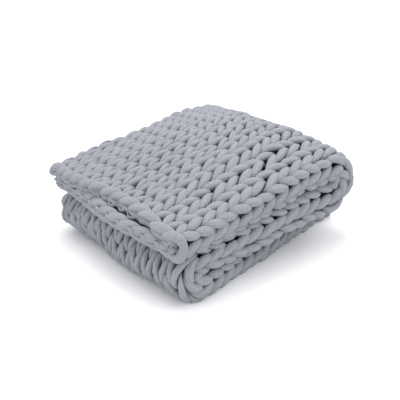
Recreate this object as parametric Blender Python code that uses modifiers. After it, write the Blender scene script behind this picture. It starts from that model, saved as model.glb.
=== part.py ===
"""Chunky hand-knitted weighted blanket, folded into a square pile.

The blanket is one piece of thick knitted cloth. It is folded in half along its length, and the
doubled cloth is then folded crosswise in three, back and forth, so six sheets lie on each other.
The cloth is modelled as its middle surface, laid along the folds and thickened.

Metres, +Z up. The origin is at the middle of the pile's footprint, on the surface it lies on.
+X runs along the knitted columns. The lengthwise fold faces -Y.
"""

import math
from collections import namedtuple

import bmesh
import bpy
import numpy as np

# The cloth
THICKNESS = 0.033
UPPER_WIDTH = 0.600  # from the lengthwise fold to the edge, on the side that shows on top
UNDER_WIDTH = 0.585  # the same, on the other side of the lengthwise fold

# One row for each stretch of the doubled cloth, from its free upper end to its free lower end.
# x and z place its centre line, half is the distance from there to the middle of either sheet,
# and fold is how far the lengthwise fold lies from the pile's front.
# A run has no reach, and a turn has a reach past its ends.
Stretch = namedtuple("Stretch", "x_from x_to z_from z_to reach half_from half_to fold_from fold_to cells")
STRETCHES = (
    Stretch(-0.107, 0.483, 0.181, 0.2355, 0.000, 0.0175, 0.0190, -0.006, 0.004, 12),
    Stretch(0.483, 0.483, 0.2355, 0.136, 0.056, 0.0190, 0.0240, 0.004, 0.010, 10),
    Stretch(0.483, -0.010, 0.136, 0.1095, 0.000, 0.0240, 0.0190, 0.010, 0.004, 10),
    Stretch(-0.010, -0.010, 0.1095, 0.0355, -0.0365, 0.0190, 0.0190, 0.004, -0.004, 10),
    Stretch(-0.010, 0.650, 0.0355, 0.0355, 0.000, 0.0190, 0.0190, -0.004, 0.150, 12),
)
FLAT_CELLS = 8  # across each side of the lengthwise fold
FOLD_CELLS = 10  # round the lengthwise fold

# How the pile settles. Height factors are for the top of the pile at its corners.
SPAN = 0.583  # length over which the settling is measured
NEAR_RIGHT, FAR_RIGHT = 1.090, 1.040  # where the cloth turns down at +X, front and back
NEAR_LEFT, FAR_LEFT = 1.000, 1.075  # at the free upper end, front and back
CROWN = 0.240  # extra height in the middle of the pile
NEAR_BULGE = 0.012  # the lower turn at -X bellies out in the middle
FAR_TUCK = 0.002  # the turn at +X draws in towards the back
EDGE_WAVE = 0.006  # the free ends and side edges aren't straight
WAVE_LENGTH = 0.42

CENTRE = (0.2656, 0.3556)  # of the footprint, before the origin is moved there


def smooth(t):
    """Eases from 0 to 1."""
    t = min(max(t, 0.0), 1.0)
    return t * t * (3 - 2 * t)


def mix(a, b, t):
    return a + (b - a) * t


def stations():
    """(x, z, half, fold) along the centre line of the doubled cloth."""
    rows = []
    for stretch in STRETCHES:
        first = 0 if not rows else 1
        for i in range(first, stretch.cells + 1):
            t = i / stretch.cells
            half = mix(stretch.half_from, stretch.half_to, smooth(t))
            fold = mix(stretch.fold_from, stretch.fold_to, t)
            if stretch.reach:
                x = stretch.x_from + stretch.reach * math.sin(math.pi * t)
                z = mix(stretch.z_from, stretch.z_to, (1 - math.cos(math.pi * t)) / 2)
            else:
                x = mix(stretch.x_from, stretch.x_to, t)
                z = mix(stretch.z_from, stretch.z_to, smooth(t))
            rows.append((x, z, half, fold))
    return np.array(rows)


def outward(line):
    """The unit normal at each station, in the plane of x and z, to the left of the way it runs."""
    ahead = np.gradient(line[:, :2], axis=0)
    ahead /= np.linalg.norm(ahead, axis=1)[:, None]
    return np.stack([-ahead[:, 1], ahead[:, 0]], axis=1)


def across(share, half):
    """(y, offset from the centre line) at share, from -1 at the under edge to 1 at the upper one."""
    flat = FLAT_CELLS / (FLAT_CELLS + FOLD_CELLS / 2)
    inner = 1 - flat
    side = math.copysign(1, share)
    if abs(share) <= inner:
        angle = share / inner * math.pi / 2
        return half * (1 - math.cos(angle)), half * math.sin(angle)
    width = UPPER_WIDTH if side > 0 else UNDER_WIDTH
    run = width - math.pi / 2 * half
    return half + run * (abs(share) - inner) / flat, side * half


def settle(x, y, z):
    """Moves a point of the evenly folded cloth to where it comes to rest."""
    u = min(max(x / SPAN, 0.0), 1.0)
    v = min(max(y / UPPER_WIDTH, 0.0), 1.0)
    height = mix(mix(NEAR_LEFT, NEAR_RIGHT, u), mix(FAR_LEFT, FAR_RIGHT, u), v)
    height += CROWN * math.sin(math.pi * u) * math.sin(math.pi * v)
    above = max(z - THICKNESS, 0.0)
    wave = EDGE_WAVE * math.sin(2 * math.pi * (y + 3 * z) / WAVE_LENGTH)
    x += wave - NEAR_BULGE * math.sin(math.pi * v) * (1 - u) - FAR_TUCK * u * v * v
    y += EDGE_WAVE * v * math.sin(2 * math.pi * (x + 2 * z) / WAVE_LENGTH)
    return x - CENTRE[0], y - CENTRE[1], z + (height - 1) * above


def fabric():
    """The knitted cloth's own matt, pale blue-grey."""
    material = bpy.data.materials.new("tube_yarn_knit")
    material.use_nodes = True
    shader = material.node_tree.nodes["Principled BSDF"]
    shader.inputs["Base Color"].default_value = (0.42, 0.45, 0.50, 1.0)
    shader.inputs["Roughness"].default_value = 0.9
    shader.inputs["Metallic"].default_value = 0.0
    return material


def folded_cloth():
    """The whole blanket: a grid laid along the folds, then thickened to both sides."""
    line = stations()
    normals = outward(line)
    columns = 2 * FLAT_CELLS + FOLD_CELLS
    mesh = bpy.data.meshes.new("knitted_blanket")
    grid = bmesh.new()
    bmesh.ops.create_grid(grid, x_segments=len(line) - 1, y_segments=columns, size=1.0)
    for vert in grid.verts:
        row = round((vert.co.x + 1) / 2 * (len(line) - 1))
        half, fold = line[row, 2:]
        y, offset = across(vert.co.y, half)
        x, z = line[row, :2] + offset * normals[row]
        vert.co = settle(x, y + fold, z)
    bmesh.ops.recalc_face_normals(grid, faces=grid.faces)
    grid.to_mesh(mesh)
    grid.free()
    mesh.shade_smooth()
    mesh.materials.append(fabric())
    blanket = bpy.data.objects.new("knitted_blanket", mesh)
    solidify = blanket.modifiers.new("cloth_thickness", "SOLIDIFY")
    solidify.thickness = THICKNESS
    solidify.offset = 0.0
    return blanket


def main():
    for old in list(bpy.data.objects):
        bpy.data.objects.remove(old, do_unlink=True)
    collection = bpy.data.collections.new("weighted_blanket")
    bpy.context.scene.collection.children.link(collection)
    collection.objects.link(folded_cloth())


main()
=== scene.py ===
"""Chunky hand-knitted weighted blanket, folded into a square pile.

Every stitch is modelled: the yarn of each course is one tube that loops through the courses
before and after it, and the whole cloth is laid along the folds of the pile.

Metres, +Z up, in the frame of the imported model. +X runs along the knitted columns of the top
layer, and the lengthwise fold faces -Y.
"""

import math
from collections import namedtuple

import bpy
import numpy as np
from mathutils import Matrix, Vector


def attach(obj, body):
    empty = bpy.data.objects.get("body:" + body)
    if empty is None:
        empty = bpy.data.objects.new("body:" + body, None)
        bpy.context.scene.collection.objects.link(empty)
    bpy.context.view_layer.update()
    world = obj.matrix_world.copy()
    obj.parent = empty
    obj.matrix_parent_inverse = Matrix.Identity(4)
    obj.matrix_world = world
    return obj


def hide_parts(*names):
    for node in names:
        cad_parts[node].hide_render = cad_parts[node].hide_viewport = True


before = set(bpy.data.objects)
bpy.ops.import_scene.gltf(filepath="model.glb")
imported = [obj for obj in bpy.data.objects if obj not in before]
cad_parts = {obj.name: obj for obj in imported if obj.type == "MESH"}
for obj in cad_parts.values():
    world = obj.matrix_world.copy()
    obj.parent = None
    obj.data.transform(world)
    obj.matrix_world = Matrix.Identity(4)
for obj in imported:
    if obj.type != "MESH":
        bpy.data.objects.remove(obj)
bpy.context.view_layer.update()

bl_info = {
    "name": "Chunky knitted blanket",
    "version": (1, 0, 0),
    "blender": (4, 5, 0),
    "location": "View3D > Sidebar > Knitting",
    "description": "Builds a folded, hand-knitted weighted blanket stitch by stitch",
    "category": "Add Mesh",
}

BODY = "root"
NODE = "knitted_blanket"
COURSE_SEED, EDGE_SEED = 7, 11

# ---------------------------------------------------------------- how the blanket is folded

# One row for each stretch of the doubled cloth, from its free upper end to its free lower end.
# x and z place its centre line, half is the distance from there to the middle of either sheet,
# and fold is how far the lengthwise fold lies from the pile's front.
# A run has no reach, and a turn has a reach past its ends.
Stretch = namedtuple("Stretch", "x_from x_to z_from z_to reach half_from half_to fold_from fold_to")
STRETCHES = (
    Stretch(-0.107, 0.483, 0.181, 0.2355, 0.000, 0.0175, 0.0190, -0.006, 0.004),
    Stretch(0.483, 0.483, 0.2355, 0.136, 0.056, 0.0190, 0.0240, 0.004, 0.010),
    Stretch(0.483, -0.010, 0.136, 0.1095, 0.000, 0.0240, 0.0190, 0.010, 0.004),
    Stretch(-0.010, -0.010, 0.1095, 0.0355, -0.0365, 0.0190, 0.0190, 0.004, -0.004),
    Stretch(-0.010, 0.650, 0.0355, 0.0355, 0.000, 0.0190, 0.0190, -0.004, 0.150),
)
THICKNESS = 0.033
UPPER_WIDTH = 0.600
UNDER_WIDTH = 0.585
SPAN = 0.583
NEAR_LEFT, FAR_LEFT = 1.000, 1.075
NEAR_RIGHT, FAR_RIGHT = 1.090, 1.040
CROWN = 0.240
NEAR_BULGE = 0.012
FAR_TUCK = 0.002
EDGE_WAVE = 0.006
WAVE_LENGTH = 0.42
CENTRE = (0.2656, 0.3556)
LEAD = 0.15  # the centre line is carried on straight past both ends, for the bound edges
SAMPLES = 80  # along each stretch
SIDE_WALES = 12  # on each side of the lengthwise fold, where they are evenly wide
SQUARENESS = 3.5  # of the lengthwise fold, which the layers press flat: 2 is round
BULB = 0.25  # by this share the two sheets stand wider apart beside the lengthwise fold
BULB_WALES = 4  # over which they come together

# Where the lines between wales lie. Near the lengthwise fold the wales are stretched wide.
WaleLine = namedtuple("WaleLine", "number place")
WALE_LINES = (
    WaleLine(-12, -12.0),
    WaleLine(-1, -0.90),
    WaleLine(0, 0.15),
    WaleLine(1, 1.20),
    WaleLine(2, 2.35),
    WaleLine(3, 3.55),
    WaleLine(13, 12.0),
)

# How the knitting lies unevenly on top. A change that comes or goes has its first place, and how
# many wales or courses it takes.
Change = namedtuple("Change", "first over")
INSET = 0.034  # the upper sheet's free edge lies back from the lower one's
INSET_COMES = Change(1, 3)  # wales
INSET_GOES = Change(5, 6)  # wales
INSET_COURSES = 7  # over which it is regained
FAN = 1.0  # wales by which the columns drift to the back, towards the turn at +X
FAN_COMES = Change(7, 6)  # courses
FAN_GOES = Change(15, 6)  # courses
SAG = 0.5  # wales by which they drift to the front, away from the free end
SAG_COURSES = 8
DRIFT_WALE = 2  # the wale past which the columns drift
EVEN_WALES = 5  # from the lengthwise fold to where courses are evenly long


def smooth(t):
    """Eases from 0 to 1."""
    t = np.clip(t, 0.0, 1.0)
    return t * t * (3 - 2 * t)


def mix(a, b, t):
    return a + (b - a) * t


def changed(place, change):
    """0 before a change begins, and 1 once it is complete."""
    return smooth((place - change.first) / change.over)


def unit(vectors):
    return vectors / np.maximum(np.linalg.norm(vectors, axis=-1), 1e-9)[..., None]


def lengths_along(points):
    """The length along a line at each of its points."""
    return np.concatenate([[0], np.cumsum(np.linalg.norm(np.diff(points, axis=0), axis=1))])


def superellipse(across, up, power):
    """How far a circle is pushed out, in the direction (across, up), to make it squarer."""
    return (np.abs(across) ** power + np.abs(up) ** power) ** (-1 / power)


def wale_place(wale):
    """Where a real wale lies, if wales were evenly wide."""
    numbers = [line.number for line in WALE_LINES]
    places = [line.place for line in WALE_LINES]
    return np.interp(wale, numbers, places)


def centre_line():
    """Columns x, z, half, fold along the centre line of the doubled cloth."""
    rows = []
    for stretch in STRETCHES:
        t = np.linspace(0, 1, SAMPLES + 1)[1 if rows else 0:]
        if stretch.reach:
            x = stretch.x_from + stretch.reach * np.sin(np.pi * t)
            z = mix(stretch.z_from, stretch.z_to, (1 - np.cos(np.pi * t)) / 2)
        else:
            x = mix(stretch.x_from, stretch.x_to, t)
            z = mix(stretch.z_from, stretch.z_to, smooth(t))
        half = mix(stretch.half_from, stretch.half_to, smooth(t))
        fold = mix(stretch.fold_from, stretch.fold_to, t)
        rows.append(np.stack([x, z, half, fold], axis=1))
    line = np.concatenate(rows)
    before = line[0] - (line[1] - line[0]) * LEAD / (line[1, 0] - line[0, 0])
    after = line[-1] + (line[-1] - line[-2]) * LEAD / (line[-1, 0] - line[-2, 0])
    return np.vstack([before, line, after])


def settle(x, y, z):
    """Moves points of the evenly folded cloth to where they come to rest."""
    u = np.clip(x / SPAN, 0, 1)
    v = np.clip(y / UPPER_WIDTH, 0, 1)
    height = mix(mix(NEAR_LEFT, NEAR_RIGHT, u), mix(FAR_LEFT, FAR_RIGHT, u), v)
    height = height + CROWN * np.sin(np.pi * u) * np.sin(np.pi * v)
    above = np.maximum(z - THICKNESS, 0)
    wave = EDGE_WAVE * np.sin(2 * np.pi * (y + 3 * z) / WAVE_LENGTH)
    x = x + wave - NEAR_BULGE * np.sin(np.pi * v) * (1 - u) - FAR_TUCK * u * v * v
    y = y + EDGE_WAVE * v * np.sin(2 * np.pi * (x + 2 * z) / WAVE_LENGTH)
    return np.stack([x - CENTRE[0], y - CENTRE[1], z + (height - 1) * above], axis=-1)


class FoldedCloth:
    """Turns a place in the flat knitting into a place in the folded pile.

    A place is (course, wale, height): courses counted from the free upper end, wales counted
    from the lengthwise fold, positive on the side that shows on top, and height above the
    middle of the cloth, towards the outside of the fold.
    """

    def __init__(self, courses):
        self.courses = courses
        self.edge = SIDE_WALES
        line = centre_line()
        self.station = lengths_along(line[:, :2])
        self.line = line
        ahead = np.gradient(line[:, :2], self.station, axis=0)
        ahead /= np.linalg.norm(ahead, axis=1)[:, None]
        self.normal = np.stack([-ahead[:, 1], ahead[:, 0]], axis=1)
        self.columns = np.linspace(-self.edge, self.edge, 4 * self.edge + 1)  # two to a wale
        self.table = self.course_table()

    def across(self, wale, height, half):
        """(y, offset from the centre line): bent within one wale of the fold, then flat."""
        turn = np.clip(wale, -1, 1) * np.pi / 2
        width = np.where(wale > 0, UPPER_WIDTH, UNDER_WIDTH)
        pitch = (width - np.pi / 2 * half) / (self.edge - 1)
        beyond = np.maximum(np.abs(wale) - 1, 0) * pitch
        square = superellipse(np.cos(turn), np.sin(turn), SQUARENESS)
        radius = (half + height) * square
        bulb = BULB * half * (1 - smooth((np.abs(wale) - 1) / BULB_WALES))
        return half + beyond - radius * np.cos(turn), (radius + bulb) * np.sin(turn)

    def course_table(self):
        """For each column, the station of each whole course: courses are evenly long along
        the sheet itself, away from the lengthwise fold."""
        first, last = self.station[1], self.station[-2]
        inside = (self.station >= first) & (self.station <= last)
        marks = np.arange(self.courses + 1) / self.courses
        plain = mix(first, last, marks)
        rows = []
        for wale in self.columns:
            half = self.line[inside, 2]
            offset = self.across(wale, 0.0, half)[1]
            sheet = self.line[inside, :2] + offset[:, None] * self.normal[inside]
            length = lengths_along(sheet)
            own = np.interp(marks * length[-1], length, self.station[inside])
            rows.append(mix(plain, own, smooth(abs(wale) / EVEN_WALES)))
        return np.array(rows)

    def stations(self, course, wale):
        """The station of each place, read from the table, and carried on past both ends."""
        spacing = self.columns[1] - self.columns[0]
        column = (np.clip(wale, -self.edge, self.edge) + self.edge) / spacing
        low = np.minimum(column.astype(int), len(self.columns) - 2)
        row = np.clip(course, 0, self.courses - 1e-6)
        down = row.astype(int)
        part = row - down
        left = mix(self.table[low, down], self.table[low, down + 1], part)
        right = mix(self.table[low + 1, down], self.table[low + 1, down + 1], part)
        pitch = (self.station[-2] - self.station[1]) / self.courses
        beside = changed(wale, INSET_COMES) * (1 - changed(wale, INSET_GOES))
        inset = INSET * beside * (1 - smooth(course / INSET_COURSES))
        return mix(left, right, column - low) + (course - row) * pitch + inset

    def place(self, course, wale, height):
        """Where a stitch comes to lie. wale counts real wales, from the line nearest the fold."""
        wale = wale_place(wale)
        drift = FAN * changed(course, FAN_COMES) * (1 - changed(course, FAN_GOES))
        drift = drift + SAG * (1 - smooth(course / SAG_COURSES))
        across = np.clip((wale - DRIFT_WALE) / (self.edge - DRIFT_WALE), 0, 1)
        wale = wale + drift * np.sin(np.pi * across)
        station = self.stations(course, wale)
        x, z, half, fold = (np.interp(station, self.station, self.line[:, i]) for i in range(4))
        normal_x, normal_z = (np.interp(station, self.station, self.normal[:, i]) for i in range(2))
        y, offset = self.across(wale, height, half)
        return settle(x + offset * normal_x, y + fold, z + offset * normal_z)


# ---------------------------------------------------------------- yarn and mesh

SIDES = 12  # round the yarn
STEPS = 26  # along the yarn of one stitch
PLUMPNESS = 2.4  # of its cross-section, where legs press on each other: 2 is a plain ellipse
OUTWARD = 0.002  # a short way out of the cloth, to find which way is out
PRESS = 0.004  # what would pass the surface below flattens over this height
ROW_RINGS = 6 * STEPS  # rings in one strip of the flat layout
STRIP_FILL = 0.98  # share of a strip's height that it fills
LOWER_TURN = 28.3  # the course at the middle of the lower turn
TURN_COURSES = 2.4  # from there to where the cloth lies flat
TAPER = 0.15  # a leg tapers until it is this far behind the cloth's middle
DIVE = 0.75  # how sharply a leg's ends dive: 1 is evenly, and less is sharper
HEAVE = 0.03  # random height of the yarn, in metres for each unit of unevenness
EDGE_RISE = 0.8  # how far the yarn rises at a side edge, in loop depths


def tube(points, outward, half_width, half_depth):
    """Rings of the yarn: an ellipse that lies flat in the cloth, at each point of its path."""
    ahead = unit(np.gradient(points, axis=0))
    sideways = unit(np.cross(ahead, outward))
    up = np.cross(sideways, ahead)
    angle = np.arange(SIDES) * 2 * np.pi / SIDES
    flat, high = np.cos(angle), np.sin(angle)
    square = superellipse(flat, high, PLUMPNESS)
    across = (flat * square)[None, :, None] * (half_width[:, None, None] * sideways[:, None, :])
    raised = (high * square)[None, :, None] * (half_depth[:, None, None] * up[:, None, :])
    return points[:, None, :] + across + raised


def pressed(points):
    """Yarn that rests on the surface below goes flat against it."""
    z = points[..., 2]
    points[..., 2] = np.where(z < PRESS, PRESS * np.exp(np.minimum(z / PRESS, 1) - 1), z)
    return points


def yarn_object(name, yarns, material):
    """One mesh of all the yarns. Each is (rings, length along it in metres)."""
    verts, faces, along, laid = [], [], [], []
    start = 0
    rows = sum(-(-len(rings) // ROW_RINGS) for rings, _ in yarns)
    row = 0
    for rings, length in yarns:
        count = len(rings)
        girth = np.linalg.norm(rings[:, 0] - rings[:, 1], axis=1).mean() * SIDES
        verts.append(rings.reshape(-1, 3))
        i, j = np.meshgrid(np.arange(count - 1), np.arange(SIDES), indexing="ij")
        i, j = i.ravel(), j.ravel()
        after = (j + 1) % SIDES
        near, far = i * SIDES, (i + 1) * SIDES
        faces.append(np.stack([near + j, near + after, far + after, far + j], axis=1) + start)
        u = np.stack([length[i], length[i], length[i + 1], length[i + 1]], axis=1)
        around = np.stack([j, j + 1, j + 1, j], axis=1) / SIDES
        v = around * girth
        along.append(np.stack([u, v], axis=2).reshape(-1, 2))
        strip, place = i // ROW_RINGS, i % ROW_RINGS
        u = np.stack([place, place, place + 1, place + 1], axis=1) / ROW_RINGS
        v = (row + strip[:, None] + around * STRIP_FILL) / rows
        laid.append(np.stack([u, v], axis=2).reshape(-1, 2))
        row += -(-count // ROW_RINGS)
        start += count * SIDES
    verts = pressed(np.concatenate(verts))
    faces = np.concatenate(faces)
    caps = []
    base = 0
    for rings, _ in yarns:
        caps.append(list(range(base + SIDES - 1, base - 1, -1)))
        last = base + (len(rings) - 1) * SIDES
        caps.append(list(range(last, last + SIDES)))
        base += len(rings) * SIDES
    mesh = bpy.data.meshes.new(name)
    mesh.from_pydata(verts.tolist(), [], faces.tolist() + caps)
    ends = np.zeros((len(caps) * SIDES, 2))
    for title, parts in (("yarn_length", along), ("OFBake", laid)):
        layer = mesh.uv_layers.new(name=title)
        layer.data.foreach_set("uv", np.concatenate(parts + [ends]).ravel().astype(np.float32))
    mesh.shade_smooth()
    mesh.materials.append(material)
    made = bpy.data.objects.new(name, mesh)
    bpy.context.scene.collection.objects.link(made)
    return made


def claim(piece):
    """The soft piece goes with the pile and stands for its plain solid."""
    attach(piece, BODY)
    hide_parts(NODE)


def wander(rng, size, count, places):
    """A smooth random offset along a yarn: a value for each whole place, and curves between."""
    values = rng.normal(0, size, count + 3)
    whole = np.clip(places.astype(int), 0, count)
    part = smooth(places - whole)
    return mix(values[whole], values[whole + 1], part)


def course_path(sizes, rng, course):
    """(course, wale, height, half_width, half_depth) along the yarn of one course, from the
    under edge to the upper one. A stitch is a loop: two legs in front, and at the back the head
    that the next course's legs come through and the sinker that leads to the next stitch."""
    wales = WALE_LINES[-1].number - WALE_LINES[0].number
    place = np.linspace(0, wales, wales * STEPS + 1)
    turn = 2 * np.pi * (place - np.floor(np.minimum(place, wales - 1e-6)) - 0.5)
    front = -np.cos(2 * turn)
    column = WALE_LINES[0].number + place + sizes.flare * np.sin(2 * turn)
    column = column + sizes.lean * np.cos(turn) * (column > 0)
    pitch = (sizes.courses + 1 - 2 * sizes.first_course) / (sizes.courses - 1)
    row = sizes.first_course + course * pitch + sizes.reach * np.cos(turn)
    height = sizes.loop_depth * np.sign(front) * np.abs(front) ** DIVE
    plump = sizes.waist + (1 - sizes.waist) * np.maximum(front + TAPER, 0) / (1 + TAPER)
    row = row + wander(rng, sizes.unevenness, wales, place)
    column = column + wander(rng, sizes.unevenness, wales * 2, place * 2)
    size = 1 + wander(rng, sizes.unevenness, wales * 2, place * 2)
    taut = sizes.tautness * np.exp(-(((row - LOWER_TURN) / TURN_COURSES) ** 4)) * smooth(-column)
    room = (wale_place(column + 1) - wale_place(column - 1)) / 2
    wide = sizes.yarn_width / 2 * np.minimum(room, 1) * plump * size * (1 - taut)
    deep = sizes.yarn_depth / 2 * np.sqrt(plump) * size * (1 - taut / 2)
    height = height + wander(rng, sizes.unevenness * HEAVE, wales * 2, place * 2)
    return np.stack([row, column, height, wide, deep], axis=1)


def selvedge_turn(sizes, end, beginning, side):
    """The yarn's way from one course to the next, round the cloth's side edge."""
    t = np.linspace(0, 1, STEPS // 2 + 1)[1:-1]
    row = mix(end[0], beginning[0], (1 - np.cos(np.pi * t)) / 2)
    column = mix(end[1], beginning[1], t) + side * sizes.selvedge * np.sin(np.pi * t)
    rise = sizes.loop_depth * (1 - np.cos(2 * np.pi * t)) * EDGE_RISE
    height = mix(end[2], beginning[2], t) + rise
    swell = np.sqrt(np.sin(np.pi * t))
    wide = mix(mix(end[3], beginning[3], t), sizes.yarn_width / 2, swell)
    deep = mix(mix(end[4], beginning[4], t), sizes.yarn_depth / 2, swell)
    return np.stack([row, column, height, wide, deep], axis=1)


def laid_yarn(cloth, path):
    """The yarn of a path in the flat knitting, laid in the pile: (rings, length along it)."""
    row, column, height, wide, deep = path.T
    points = cloth.place(row, column, height)
    outward = unit(cloth.place(row, column, height + OUTWARD) - points)
    return tube(points, outward, wide, deep), lengths_along(points)


# ---------------------------------------------------------------- materials

RIB_SPACING = 0.0035  # real ribs are about 2 mm apart, too fine to show
RIB_SCALE = 0.314 / RIB_SPACING / 2  # of a wave texture, for ribs that far apart
FUZZ_SPACING = 0.004
MOTTLE_SPACING = 0.05
RELIEF = 0.0008  # height of the ribs and the fuzz


def linear(code):
    """The linear colour, with alpha, of an sRGB hex code."""
    values = [int(code[i:i + 2], 16) / 255 for i in (1, 3, 5)]
    values = [c / 12.92 if c <= 0.04045 else ((c + 0.055) / 1.055) ** 2.4 for c in values]
    return (*values, 1.0)


def add(tree, kind, links=None, **settings):
    """Adds a node with its settings, and its inputs as links or values."""
    node = tree.nodes.new(kind)
    for name, value in settings.items():
        setattr(node, name, value)
    for name, value in (links or {}).items():
        if isinstance(value, bpy.types.NodeSocket):
            tree.links.new(value, node.inputs[name])
        else:
            node.inputs[name].default_value = value
    return node


def tube_yarn(colours):
    """Polyester jersey tube over soft filling: matt, with a faint bloom at the edges, fine knitted
    ribs along the yarn, and a little mottling where the jersey is stretched. The ribs are a bump,
    and their grooves are also painted darker in the colour: painted shade."""
    material = bpy.data.materials.new("polyester_jersey_tube_yarn")
    material.use_nodes = True
    tree = material.node_tree
    shader = tree.nodes["Principled BSDF"]
    shader.inputs["Roughness"].default_value = 0.88
    shader.inputs["Specular IOR Level"].default_value = 0.25
    shader.inputs["Sheen Weight"].default_value = 0.08
    shader.inputs["Sheen Roughness"].default_value = 0.5
    where = add(tree, "ShaderNodeUVMap", uv_map="yarn_length").outputs["UV"]
    body = add(tree, "ShaderNodeTexCoord").outputs["Object"]
    ribs, rows = (
        add(tree, "ShaderNodeTexWave", {
            "Vector": where, "Scale": RIB_SCALE, "Distortion": distortion,
            "Detail": 2.0, "Detail Scale": 1.5,
        }, bands_direction=direction)
        for direction, distortion in (("Y", 2.0), ("X", 3.0)))
    jersey = add(tree, "ShaderNodeMath", {0: ribs.outputs["Fac"], 1: rows.outputs["Fac"]},
                 operation="MULTIPLY")
    fuzz = add(tree, "ShaderNodeTexNoise", {
        "Vector": body, "Scale": 1 / FUZZ_SPACING, "Detail": 3.0})
    mottle = add(tree, "ShaderNodeTexNoise", {
        "Vector": body, "Scale": 1 / MOTTLE_SPACING, "Detail": 2.0})
    tint = add(tree, "ShaderNodeMix", {
        0: mottle.outputs["Fac"], 6: linear(colours.yarn_dark), 7: linear(colours.yarn_light),
    }, data_type="RGBA")
    speck = add(tree, "ShaderNodeMapRange", {
        "Value": fuzz.outputs["Fac"], "From Min": 0.3, "From Max": 0.7,
        "To Min": 0.84, "To Max": 1.10})
    # painted shade: the knitted ribs darken the colour in their grooves, to 0.90 of the yarn's, and
    # lighten it on their crests, to 1.05
    shade = add(tree, "ShaderNodeMapRange", {
        "Value": jersey.outputs[0], "To Min": 0.90, "To Max": 1.05})
    # depth is the fuzz speckle times the painted shade of the rib grooves
    depth = add(tree, "ShaderNodeMath", {0: speck.outputs[0], 1: shade.outputs[0]},
                operation="MULTIPLY")
    colour = add(tree, "ShaderNodeVectorMath", {0: tint.outputs[2], "Scale": depth.outputs[0]},
                 operation="SCALE")
    tree.links.new(colour.outputs[0], shader.inputs["Base Color"])
    relief = add(tree, "ShaderNodeMath", {0: jersey.outputs[0], 1: fuzz.outputs["Fac"]},
                 operation="ADD")
    bump = add(tree, "ShaderNodeBump", {
        "Height": relief.outputs[0], "Distance": RELIEF, "Strength": 0.6})
    tree.links.new(bump.outputs["Normal"], shader.inputs["Normal"])
    return material


def matt_paint(colour):
    """Pale studio floor: matt emulsion, with no gloss."""
    material = bpy.data.materials.new("matt_emulsion_floor")
    material.use_nodes = True
    shader = material.node_tree.nodes["Principled BSDF"]
    shader.inputs["Base Color"].default_value = linear(colour)
    shader.inputs["Roughness"].default_value = 1.0
    shader.inputs["Specular IOR Level"].default_value = 0.0
    return material


# ---------------------------------------------------------------- settings

class KnitSizes(bpy.types.PropertyGroup):
    """Sizes of the knitting."""

    courses: bpy.props.IntProperty(
        name="Courses", description="Rows of stitches along the blanket", default=43)
    first_course: bpy.props.FloatProperty(
        name="First course", default=1.25,
        description="Courses from the free end to the middle of the first one")
    yarn_width: bpy.props.FloatProperty(
        name="Yarn width", description="Width of the yarn in a leg", default=0.0264, unit="LENGTH")
    yarn_depth: bpy.props.FloatProperty(
        name="Yarn depth", description="Its thickness through the cloth", default=0.0225,
        unit="LENGTH")
    loop_depth: bpy.props.FloatProperty(
        name="Loop depth", description="How far legs lie in front of the cloth's middle",
        default=0.0120, unit="LENGTH")
    reach: bpy.props.FloatProperty(
        name="Reach", default=1.12,
        description="How far a loop reaches each way along the cloth, in courses")
    lean: bpy.props.FloatProperty(
        name="Lean", default=0.09,
        description="How far loops lean away from the lengthwise fold, in wales")
    flare: bpy.props.FloatProperty(
        name="Flare", description="How far legs lean away from their wale, in wales", default=0.27)
    waist: bpy.props.FloatProperty(
        name="Waist", default=0.20,
        description="Width of the yarn at the back, as a share of a leg's")
    tautness: bpy.props.FloatProperty(
        name="Tautness", default=0.30,
        description="Share by which yarn is thinner round the lower turn")
    selvedge: bpy.props.FloatProperty(
        name="Selvedge", default=0.15,
        description="How far yarn stands out at the side edges, in wales")
    unevenness: bpy.props.FloatProperty(
        name="Unevenness", description="Random share by which stitches differ", default=0.058)


class KnitColours(bpy.types.PropertyGroup):
    """Colours of the yarn and the stage, as sRGB hex codes."""

    yarn_light: bpy.props.StringProperty(
        name="Yarn", description="The yarn's lighter shade", default="#94969D")
    yarn_dark: bpy.props.StringProperty(
        name="Yarn, darker", description="Its darker shade", default="#898B93")
    floor: bpy.props.StringProperty(name="Floor", description="The pale floor", default="#F0F0F0")
    sky: bpy.props.StringProperty(
        name="Sky", description="Cool light from all round", default="#FAFCFF")
    key: bpy.props.StringProperty(
        name="Key light", description="Warmer light from above", default="#FFFCF7")


class StageSizes(bpy.types.PropertyGroup):
    """The camera, the lights and the floor."""

    pitch: bpy.props.FloatProperty(
        name="Pitch", description="How far the camera looks down", default=math.radians(24.75),
        subtype="ANGLE")
    azimuth: bpy.props.FloatProperty(
        name="Azimuth", description="Which way it looks, from +Y towards +X",
        default=math.radians(38.93), subtype="ANGLE")
    distance: bpy.props.FloatProperty(
        name="Distance", description="From the camera to its aim", default=2.695, unit="LENGTH")
    aim: bpy.props.FloatVectorProperty(
        name="Aim", description="The point that the camera looks at", default=(0.1231, 0.1313, 0.0),
        unit="LENGTH")
    lens: bpy.props.FloatProperty(
        name="Lens", description="Focal length in millimetres", default=72.0)
    floor: bpy.props.FloatProperty(
        name="Floor", description="Width of the floor", default=16.0, unit="LENGTH")
    sky: bpy.props.FloatProperty(
        name="Sky", description="Strength of the light from all round", default=1.22)
    key: bpy.props.FloatProperty(
        name="Key light", description="Power of the large soft light", default=42.0, unit="POWER")


# ---------------------------------------------------------------- operators

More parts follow.
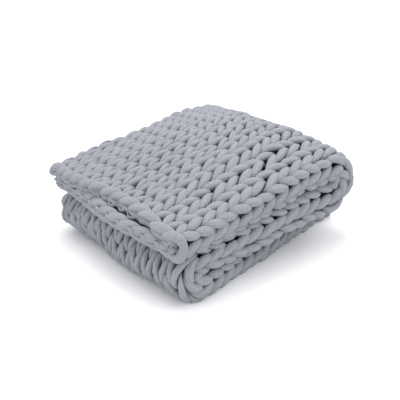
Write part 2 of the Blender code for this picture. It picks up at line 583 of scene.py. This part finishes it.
PIECES = (
    "knit_top_outer", "knit_top_inner", "knit_middle_outer",
    "knit_middle_inner", "knit_bottom_inner", "knit_bottom_outer",
)
CHAIN_INSET = 0.022  # from the free end to the middle of the chain
CHAIN_SPREAD = 0.016  # from the tip of an arrow head to its ends, along the cloth
CHAIN_HEIGHT = 0.012  # from the cloth's middle to a leg
CHAIN_LEG = 0.07  # length of a leg
CHAIN_PLUMP, CHAIN_FLATNESS = 1.02, 0.85  # of its yarn, next to a stitch's and next to its width
LEG_STEPS = 20
LEG_BEFORE, LEG_AFTER = 0.30, 1.30  # a leg's ends, in wales from its own wale's first line
LEG_BLUNT = 0.06  # share of a half wave that is cut off at each end of a leg, so it is blunt
LEG_ROUND = 0.6  # power that makes its middle evenly wide
LEG_RISE = 1.5  # how steeply it rises: it is at its height after 1 / LEG_RISE of its length
LEG_CLEAR = 0.001  # the two legs' tips stay this far from the cloth's middle
ASIDE_COURSES, ASIDE_HEIGHT = 0.2, 1.2  # outward of a leg: away from the edge, and from the cloth
ASIDE_FROM = 0.4 * CHAIN_INSET


class KNIT_OT_courses(bpy.types.Operator):
    """Knits the courses, in pieces of several courses each"""

    bl_idname = "knit.courses"
    bl_label = "Knit the courses"

    def execute(self, context):
        sizes = context.scene.knit_sizes
        cloth = FoldedCloth(sizes.courses + 1)
        material = tube_yarn(context.scene.knit_colours)
        rng = np.random.default_rng(COURSE_SEED)
        paths = [course_path(sizes, rng, course) for course in range(sizes.courses)]
        for number in range(1, sizes.courses, 2):
            paths[number] = paths[number][::-1]
        for number, name in enumerate(PIECES):
            first = number * sizes.courses // len(PIECES)
            last = (number + 1) * sizes.courses // len(PIECES)
            parts = []
            for course in range(first, last):
                parts.append(paths[course])
                if course + 1 < sizes.courses:
                    side = 1 if course % 2 == 0 else -1
                    end, beginning = paths[course][-1], paths[course + 1][0]
                    parts.append(selvedge_turn(sizes, end, beginning, side))
            if last < sizes.courses:
                parts.append(paths[last][:1])
            yarn = laid_yarn(cloth, np.concatenate(parts))
            claim(yarn_object(name, [yarn], material))
        return {"FINISHED"}


class KNIT_OT_bound_edges(bpy.types.Operator):
    """Closes both free ends with a chain of small loops along the edge"""

    bl_idname = "knit.bound_edges"
    bl_label = "Bind the edges"

    def execute(self, context):
        sizes = context.scene.knit_sizes
        cloth = FoldedCloth(sizes.courses + 1)
        material = bpy.data.materials["polyester_jersey_tube_yarn"]
        rng = np.random.default_rng(EDGE_SEED)
        for name, way in (("bound_edge_top", 1), ("bound_edge_bottom", -1)):
            claim(yarn_object(name, chain(sizes, cloth, rng, way), material))
        return {"FINISHED"}


def chain(sizes, cloth, rng, way):
    """Two legs for each wale, which spread from the edge to both faces like arrow heads. way is
    1 at the free upper end, and -1 at the lower one."""
    t = np.linspace(0, 1, LEG_STEPS)
    pitch = (cloth.station[-2] - cloth.station[1]) / cloth.courses
    end = 0 if way > 0 else cloth.courses
    first, last = WALE_LINES[0].number, WALE_LINES[-1].number
    yarns = []
    for wale in range(first, last):
        for side in (-1, 1):
            jitter = rng.normal(0, sizes.unevenness, 4)
            start, end_wale = (LEG_AFTER, -LEG_BEFORE) if wale >= 0 else (-LEG_BEFORE, LEG_AFTER)
            column = np.clip(wale + mix(start, end_wale, t) + jitter[0], first, last)
            inward = CHAIN_INSET + CHAIN_SPREAD * (smooth(t) - 0.5) * (1 + jitter[1])
            climb = CHAIN_HEIGHT * np.sin(np.pi / 2 * np.minimum(LEG_RISE * t, 1)) + LEG_CLEAR
            height = side * climb * (1 + jitter[2])
            taper = np.sin(np.pi * mix(LEG_BLUNT, 1 - LEG_BLUNT, t)) ** LEG_ROUND
            wide = sizes.yarn_width / 2 * (CHAIN_PLUMP + jitter[3]) * taper
            row = end + way * inward / pitch
            points = cloth.place(row, column, height)
            away = way * (ASIDE_FROM - inward) / pitch * ASIDE_COURSES
            aside = cloth.place(row + away, column, height * ASIDE_HEIGHT)
            outward = unit(aside - points)
            yarns.append((tube(points, outward, wide, wide * CHAIN_FLATNESS), t * CHAIN_LEG))
    return yarns


# Soft round lamps that point at the pile. share is a lamp's power as a share of the key light's.
Lamp = namedtuple("Lamp", "name x y z size share")
LAMPS = (
    Lamp("key_light", 0.0, 0.2, 2.8, 1.8, 1.00),
    Lamp("right_fill", 1.8, -1.6, 1.9, 2.0, 0.38),
    Lamp("left_fill", -2.2, -0.9, 1.0, 2.0, 0.16),
)
FLOOR_GAP = 0.0005  # below the pile, so that their surfaces don't share a plane


class KNIT_OT_stage(bpy.types.Operator):
    """Sets the floor, the soft lights and the camera"""

    bl_idname = "knit.stage"
    bl_label = "Set the stage"

    def execute(self, context):
        scene = context.scene
        sizes = scene.knit_stage
        bpy.ops.mesh.primitive_plane_add(size=sizes.floor, location=(0, 0, -FLOOR_GAP))
        floor = context.active_object
        floor.name = "studio_floor"
        floor.data.materials.append(matt_paint(scene.knit_colours.floor))
        world = bpy.data.worlds.new("soft_white_studio")
        world.use_nodes = True
        sky = world.node_tree.nodes["Background"]
        sky.inputs["Color"].default_value = linear(scene.knit_colours.sky)
        sky.inputs["Strength"].default_value = sizes.sky
        scene.world = world
        for lamp in LAMPS:
            shine = bpy.data.lights.new(lamp.name, "AREA")
            shine.shape = "DISK"
            shine.size = lamp.size
            shine.energy = sizes.key * lamp.share
            shine.color = linear(scene.knit_colours.key)[:3]
            light = bpy.data.objects.new(lamp.name, shine)
            light.location = (lamp.x, lamp.y, lamp.z)
            light.rotation_euler = (-light.location).to_track_quat("-Z", "Y").to_euler()
            scene.collection.objects.link(light)
        look = Vector((
            math.sin(sizes.azimuth) * math.cos(sizes.pitch),
            math.cos(sizes.azimuth) * math.cos(sizes.pitch),
            -math.sin(sizes.pitch),
        ))
        camera = bpy.data.objects.new("camera", bpy.data.cameras.new("camera"))
        camera.data.lens = sizes.lens
        camera.location = Vector(sizes.aim) - look * sizes.distance
        camera.rotation_euler = look.to_track_quat("-Z", "Y").to_euler()
        scene.collection.objects.link(camera)
        scene.camera = camera
        scene.view_settings.view_transform = "Standard"
        return {"FINISHED"}


class KNIT_PT_panel(bpy.types.Panel):
    """Lists the steps in the 3D view's sidebar"""

    bl_idname = "KNIT_PT_panel"
    bl_label = "Knitted blanket"
    bl_space_type = "VIEW_3D"
    bl_region_type = "UI"
    bl_category = "Knitting"

    def draw(self, context):
        for setting, _ in SETTINGS:
            group = getattr(context.scene, setting)
            for name in group.__annotations__:
                self.layout.prop(group, name)
        for step in STEPS_IN_ORDER:
            self.layout.operator(step.bl_idname)


STEPS_IN_ORDER = (KNIT_OT_courses, KNIT_OT_bound_edges, KNIT_OT_stage)
SETTINGS = (("knit_sizes", KnitSizes), ("knit_colours", KnitColours), ("knit_stage", StageSizes))


def register():
    for name, group in SETTINGS:
        bpy.utils.register_class(group)
        setattr(bpy.types.Scene, name, bpy.props.PointerProperty(type=group))
    for step in STEPS_IN_ORDER:
        bpy.utils.register_class(step)
    bpy.utils.register_class(KNIT_PT_panel)


def unregister():
    bpy.utils.unregister_class(KNIT_PT_panel)
    for step in reversed(STEPS_IN_ORDER):
        bpy.utils.unregister_class(step)
    for name, group in reversed(SETTINGS):
        delattr(bpy.types.Scene, name)
        bpy.utils.unregister_class(group)


def main():
    register()
    bpy.ops.knit.courses()
    bpy.ops.knit.bound_edges()
    bpy.ops.knit.stage()


if __name__ == "__main__":
    main()
